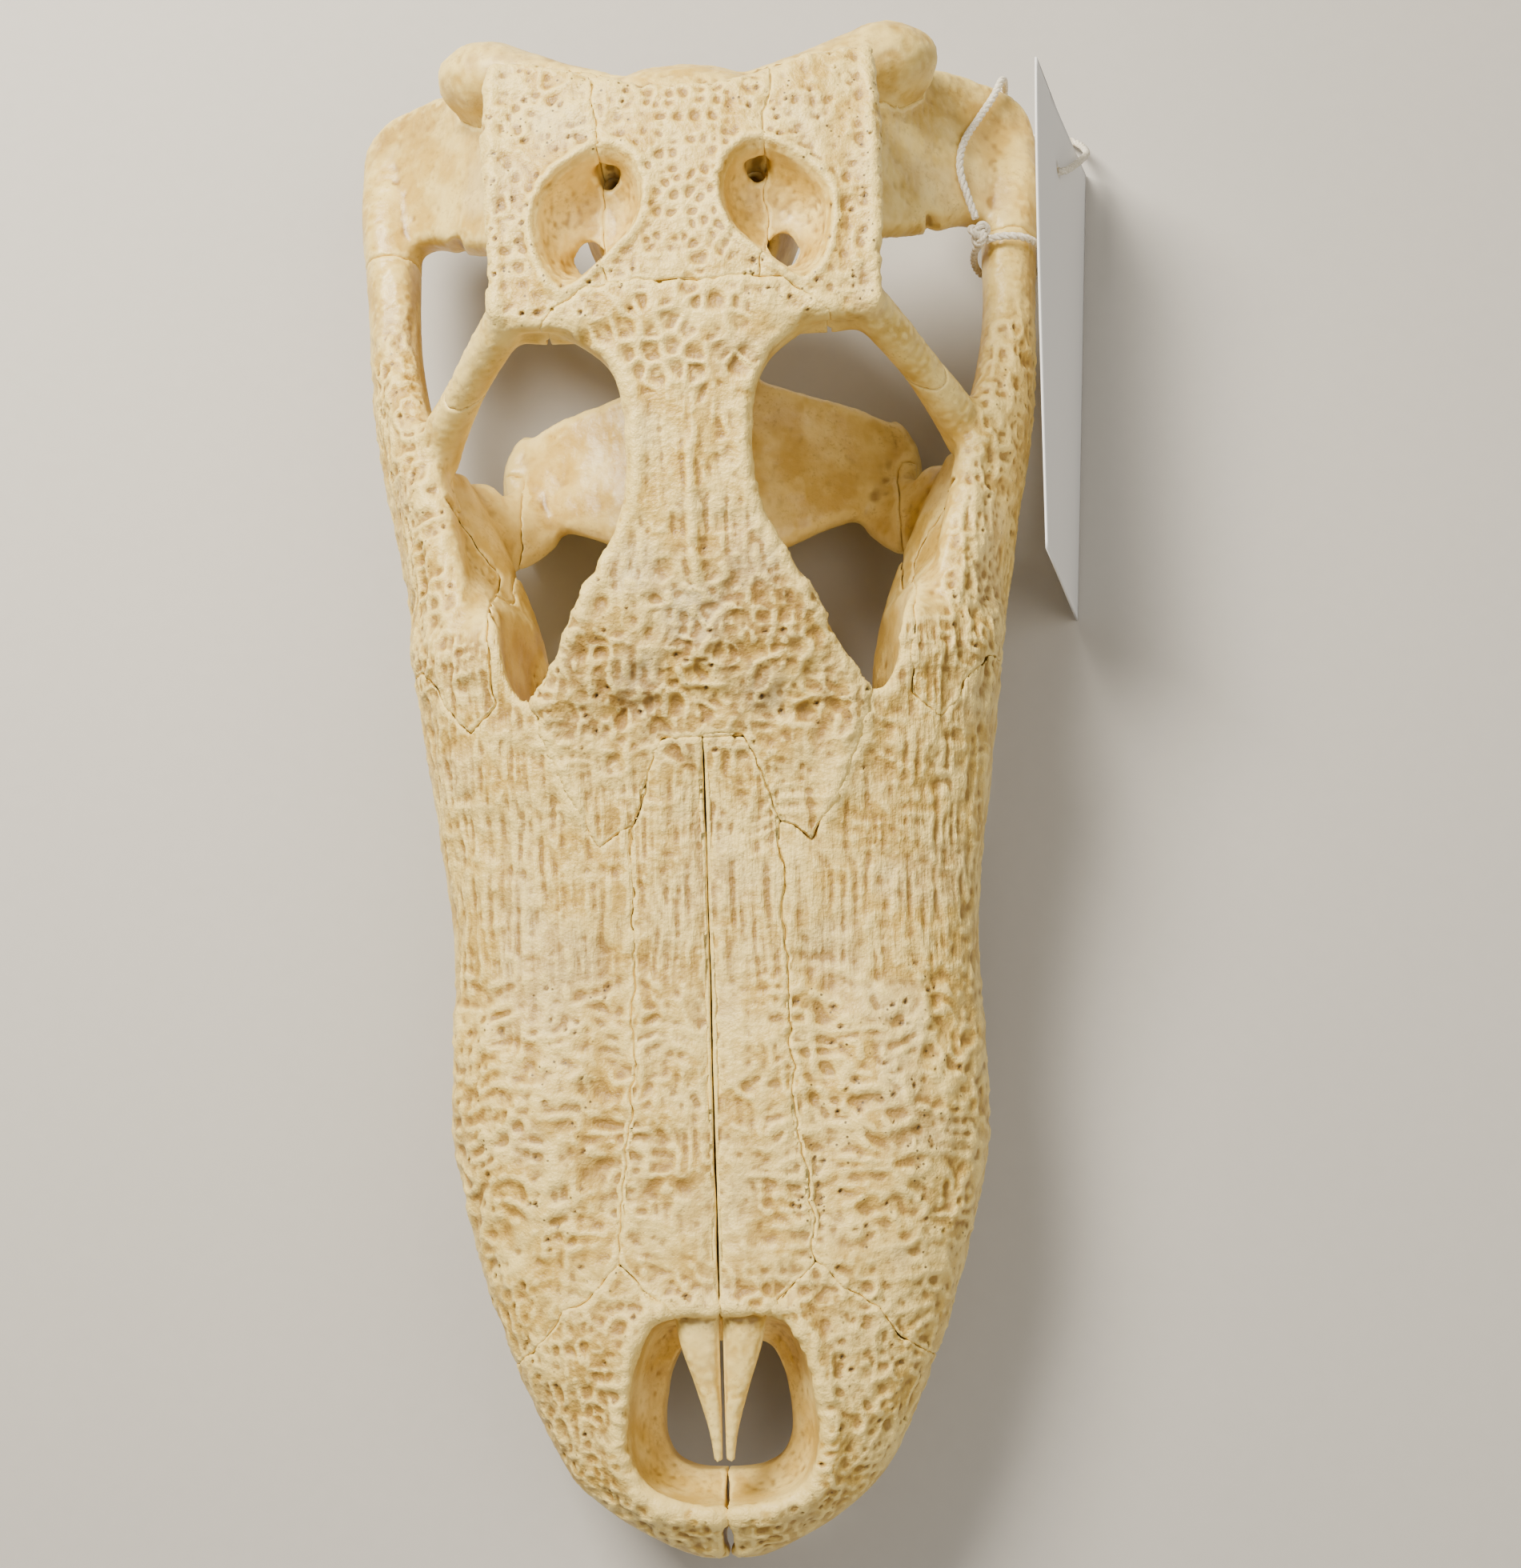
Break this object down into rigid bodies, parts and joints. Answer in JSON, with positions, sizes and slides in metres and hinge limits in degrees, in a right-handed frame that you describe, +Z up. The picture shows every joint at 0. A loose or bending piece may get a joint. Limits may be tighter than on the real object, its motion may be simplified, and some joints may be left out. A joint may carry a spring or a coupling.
{
  "type": "alligator skull",
  "caption": "Dry alligator cranium without its lower jaw, teeth down, with a blank paper tag on a string; a still museum specimen.",
  "frame": {"origin": "middle of the skull's own box, at floor level", "axes": "+Y back along the midline from the snout to the neck, +X to the skull's own left, the side with the tag, +Z up"},
  "size_m": [0.1747, 0.3357, 0.095],
  "materials": {
    "bone": "satin dry bone",
    "card": "matt",
    "string": "twisted cotton"
  },
  "bodies": {
    "root": {"premaxilla_left": "bone", "premaxilla_right": "bone", "maxilla_left": "bone", "maxilla_right": "bone", "nasal_left": "bone", "nasal_right": "bone", "frontal": "bone", "parietal": "bone", "squamosal_left": "bone", "squamosal_right": "bone", "jugal_left": "bone", "jugal_right": "bone", "quadrate_left": "bone", "quadrate_right": "bone", "ectopterygoid_left": "bone", "ectopterygoid_right": "bone", "braincase": "bone", "palatine": "bone", "pterygoid": "bone", "tag_card": "card", "tag_string": "string", "tag_knot": "string"}
  },
  "joints": []
}
